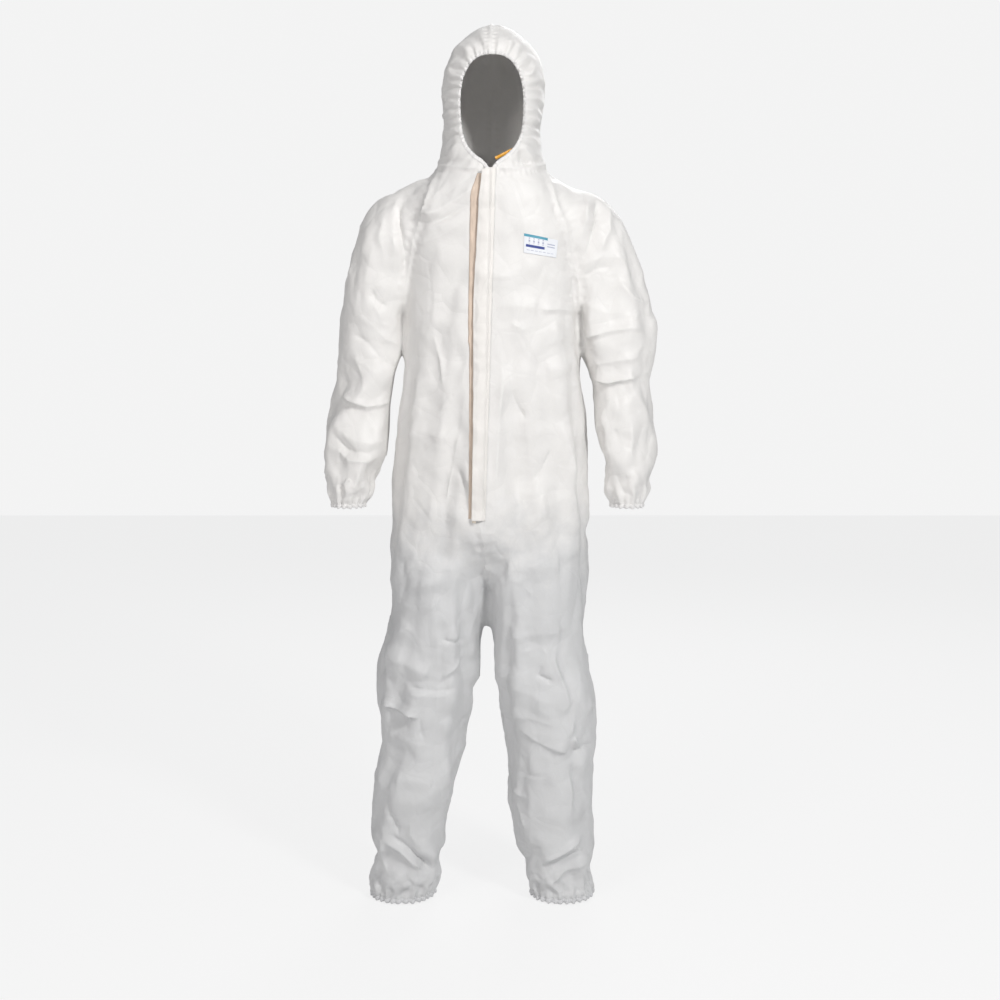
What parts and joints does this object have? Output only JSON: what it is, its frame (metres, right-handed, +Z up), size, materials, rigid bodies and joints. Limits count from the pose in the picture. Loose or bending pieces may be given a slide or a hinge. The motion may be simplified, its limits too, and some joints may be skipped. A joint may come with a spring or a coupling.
{
  "type": "chemical protective suit",
  "caption": "Hooded one-piece disposable coverall with raglan sleeves, zip under a storm flap, and elasticated face opening, waist, cuffs and ankles.",
  "frame": {"origin": "middle of the neck base, between the shoulders, where the wearer or a hanger holds the suit", "axes": "+Z up, -Y out of the suit's front, +X towards the wearer's left sleeve"},
  "size_m": [0.6671, 0.2977, 1.7523],
  "materials": {
    "nonwoven": "matt, papery, slightly see-through",
    "elastic": "covered elastic, gathered",
    "zip_tape": "woven tape",
    "zip_coil": "nylon coil",
    "zip_metal": "painted die casting",
    "liner_beige": "silicone release paper and adhesive tape",
    "liner_orange": "coloured release paper",
    "label": "printed patch"
  },
  "bodies": {
    "suit_body": {"front_right_panel": "nonwoven", "front_left_panel": "nonwoven", "back_right_panel": "nonwoven", "back_left_panel": "nonwoven", "right_sleeve_upper": "nonwoven", "left_sleeve_upper": "nonwoven", "waist_elastic": "elastic", "chest_label": "label", "zip_tape_right": "zip_tape", "zip_tape_left": "zip_tape", "zip_coil_right": "zip_coil", "zip_coil_left": "zip_coil", "zip_top_stop_right": "zip_metal", "zip_top_stop_left": "zip_metal", "zip_bottom_stop": "zip_metal", "flap_adhesive_liner": "liner_beige"},
    "hood": {"hood_right_panel": "nonwoven", "hood_left_panel": "nonwoven", "hood_face_elastic": "elastic", "chin_liner_tab": "liner_orange"},
    "flap": {"storm_flap": "nonwoven", "flap_adhesive_tape": "liner_beige"},
    "slider": {"zip_slider": "zip_metal"},
    "pull_tab": {"zip_pull_tab": "zip_metal"},
    "right_forearm": {"right_sleeve_lower": "nonwoven", "right_cuff_elastic": "elastic"},
    "left_forearm": {"left_sleeve_lower": "nonwoven", "left_cuff_elastic": "elastic"},
    "right_shin": {"right_leg_lower_front": "nonwoven", "right_leg_lower_back": "nonwoven", "right_ankle_elastic": "elastic"},
    "left_shin": {"left_leg_lower_front": "nonwoven", "left_leg_lower_back": "nonwoven", "left_ankle_elastic": "elastic"}
  },
  "joints": [
    {"name": "hood_tilt", "type": "hinge", "parent": "suit_body", "child": "hood", "pos_m": [0, 0.095, 0.0466], "axis": [-1, 0, 0], "range_deg": [0, 30]},
    {"name": "zip_slide", "type": "slide", "parent": "suit_body", "child": "slider", "axis": [0.0305, 0.0317, 0.999], "range_m": [-0.63, 0]},
    {"name": "pull_tab_swing", "type": "hinge", "parent": "slider", "child": "pull_tab", "pos_m": [-0.00653, -0.13169, -0.00469], "axis": [-0.9995, 0, 0.0305], "range_deg": [0, 7]},
    {"name": "flap_hinge", "type": "hinge", "parent": "suit_body", "child": "flap", "pos_m": [-0.0022, -0.14025, -0.32238], "axis": [0.0305, 0.0317, 0.999], "range_deg": [0, 140]},
    {"name": "right_elbow", "type": "hinge", "parent": "suit_body", "child": "right_forearm", "pos_m": [-0.262, -0.0757, -0.42], "axis": [-1, 0, 0], "range_deg": [0, 90]},
    {"name": "left_elbow", "type": "hinge", "parent": "suit_body", "child": "left_forearm", "pos_m": [0.265, -0.075, -0.42], "axis": [-1, 0, 0], "range_deg": [0, 90]},
    {"name": "right_knee", "type": "hinge", "parent": "suit_body", "child": "right_shin", "pos_m": [-0.139, 0.0975, -1.06], "axis": [1, 0, 0], "range_deg": [0, 90]},
    {"name": "left_knee", "type": "hinge", "parent": "suit_body", "child": "left_shin", "pos_m": [0.117, 0.0975, -1.06], "axis": [1, 0, 0], "range_deg": [0, 90]}
  ]
}
